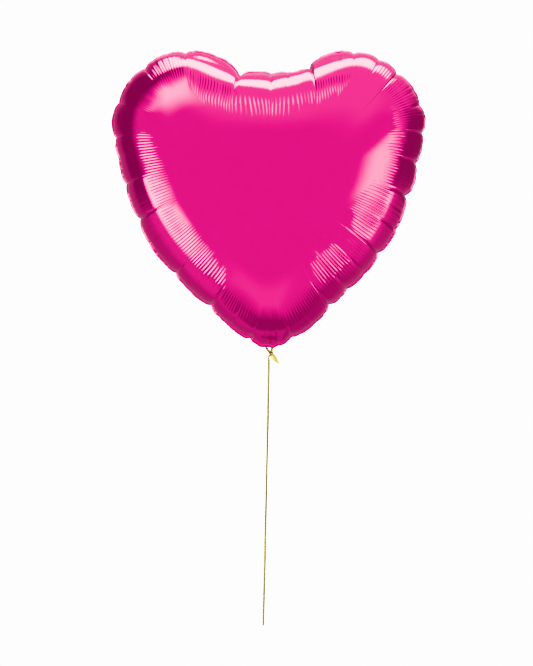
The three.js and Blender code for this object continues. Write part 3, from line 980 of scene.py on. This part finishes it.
def foil_material():
    """Metallised film, coloured through and glossy, with a faint haze and the film's own fine grain."""
    material, tree = new_material("magenta_foil")
    place = tree.coordinates("Object")
    grain = tree.bump(tree.noise(place, scale=900), height=0.006 * MM)
    tree.shade({
        "Base Color": tree.blend(tree.noise(place, scale=28), *FOIL_COLOURS),
        "Roughness": tree.ranged(tree.noise(place, scale=90), *FOIL_ROUGHNESS),
        "Metallic": 1,
        "Specular Tint": FOIL_EDGE_TINT,
        "Coat Weight": 0.5,
        "Coat Roughness": 0.03,
        "Normal": tree.bump(tree.noise(place, scale=120), height=0.02 * MM, under=grain),
    })
    return material


def film_material():
    """Clear polythene, slightly hazy."""
    material, tree = new_material("valve_film")
    place = tree.coordinates("Object")
    haze = tree.noise(place, scale=200)
    tree.shade({
        "Base Color": tree.blend(haze, *VALVE_COLOURS),
        "Roughness": tree.ranged(haze, *VALVE_ROUGHNESS),
        "Transmission Weight": 0.85,
        "IOR": 1.5,
        "Normal": tree.bump(tree.noise(place, scale=500), height=0.03 * MM),
    })
    return material


def gold_material(name, colours, patch_scale):
    """Metallised curling ribbon, with the fine lengthwise ribs that let it curl. Its colour is painted paler
    at a slant, a painted sheen.
    """
    material, tree = new_material(name)
    place = tree.coordinates("Object")
    patches = tree.blend(tree.noise(place, patch_scale), *colours)
    slant = tree.fill(tree.nodes.new("ShaderNodeLayerWeight"), {"Blend": 0.5}).outputs["Facing"]
    across = tree.axes(tree.coordinates("UV"))["X"]
    ribs = tree.calculate("SINE", tree.calculate("MULTIPLY", across, RIB_WAVE))
    ribbed = tree.bump(ribs, height=0.01 * MM)
    tree.shade({
        # Painted sheen: the base colour turns pale where the ribbon is seen at a slant.
        "Base Color": tree.blend(tree.ranged(slant, 0, PAINTED_SHEEN_SHARE), patches, PAINTED_SHEEN_GOLD),
        "Roughness": tree.ranged(tree.noise(place, scale=200), *GOLD_ROUGHNESS),
        "Metallic": 1,
        "Normal": tree.bump(tree.noise(place, scale=300), height=0.04 * MM, under=ribbed),
    })
    return material


def floor_material():
    """Pale matt paper."""
    material, tree = new_material("studio_floor")
    tone = tree.blend(tree.noise(tree.coordinates("Object"), scale=3), *FLOOR_COLOURS)
    tree.shade({"Base Color": tone, "Roughness": FLOOR_ROUGHNESS})
    return material


# ---------------------------------------------------------------- light and floor


def make_studio():
    """The room's light by direction, and a plain white backdrop for the camera."""
    world = bpy.data.worlds.new("studio")
    bpy.context.scene.world = world
    world.use_nodes = True
    world.node_tree.nodes.clear()
    tree = NodeTree(world.node_tree)
    x, y, z = tree.axes(tree.coordinates("Generated"))
    to_front = tree.calculate("MULTIPLY", y, -1)
    off_axis = tree.calculate("DEGREES", tree.calculate("ARCCOSINE", to_front))
    azimuth = tree.calculate("DEGREES", tree.calculate("ARCTAN2", x, z))
    level = FRONT_BRIGHTNESS
    for (centre, half, edge), (start, start_edge, end, end_edge), brightness in STUDIO_PANELS:
        beside = tree.calculate("WRAP", tree.calculate("SUBTRACT", azimuth, centre), 180, -180)
        across = tree.band(beside, -half, edge, half, edge)
        outwards = tree.band(off_axis, start, start_edge, end, end_edge)
        level = tree.blend(tree.calculate("MULTIPLY", across, outwards), level, brightness, "FLOAT")
    seen_by_camera = tree.nodes.new("ShaderNodeLightPath").outputs["Is Camera Ray"]
    backdrop = tree.white_background(BACKDROP_BRIGHTNESS)
    choose = tree.nodes.new("ShaderNodeMixShader")
    tree.fill(choose, {"Fac": seen_by_camera, 1: tree.white_background(level), 2: backdrop})
    tree.fill(tree.nodes.new("ShaderNodeOutputWorld"), {"Surface": choose.outputs[0]})


def make_floor():
    """A pale round floor. The foil doesn't mirror it, so that the studio shows in it all the way round."""
    build = MeshBuild()
    turns = np.linspace(0, FULL_TURN, FLOOR_COLUMNS, endpoint=False)
    circle = np.stack([np.cos(turns), np.sin(turns), np.zeros(len(turns))], -1)
    radii = np.linspace(FLOOR_MIDDLE_RADIUS, FLOOR_RADIUS, FLOOR_RINGS)
    numbers = build.strip([circle * radius + (0, 0, FLOOR_Z) for radius in radii], closed=True)
    build.faces.append(numbers[0])
    floor = build.piece("studio_floor", floor_material())
    floor.visible_glossy = False


# ---------------------------------------------------------------- the scene


def fit(piece, body, slot, *nodes):
    """Puts a piece on its body, in place of CAD nodes. Its slot is not used."""
    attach(piece, body)
    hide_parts(*nodes)
    return piece


bpy.context.scene.view_settings.view_transform = "Khronos PBR Neutral"
make_camera()
gold = gold_material("gold_ribbon", GOLD_COLOURS, patch_scale=90)
# The knot and the loop take the darker gold, which is painted shade.
shaded_gold = gold_material("shaded_gold_ribbon", SHADED_GOLD_COLOURS, patch_scale=420)
run = fit(long_end(gold), "ribbon_run", "gold_ribbon", "ribbon_long_end")
fit(short_end(gold), "ribbon_tie", "gold_ribbon", "ribbon_short_end")
fit(loop(shaded_gold), "ribbon_tie", "gold_ribbon", "ribbon_loop")
fit(knot(shaded_gold), "ribbon_tie", "gold_ribbon", "ribbon_knot")

heart = InflatedHeart()
foil = foil_material()
front = foil_panel("front_foil", heart, -1, FRONT_RIDGE_SEED, foil)
fit(front, "balloon", "magenta_foil", "front_foil_panel")
back = foil_panel("back_foil", heart, 1, BACK_RIDGE_SEED, foil)
fit(back, "balloon", "magenta_foil", "back_foil_panel")
film = film_material()
fit(valve_film("valve_front", -1, film), "balloon", "valve_film", "valve_front_film")
fit(valve_film("valve_back", 1, film), "balloon", "valve_film", "valve_back_film")

make_studio()
make_floor()
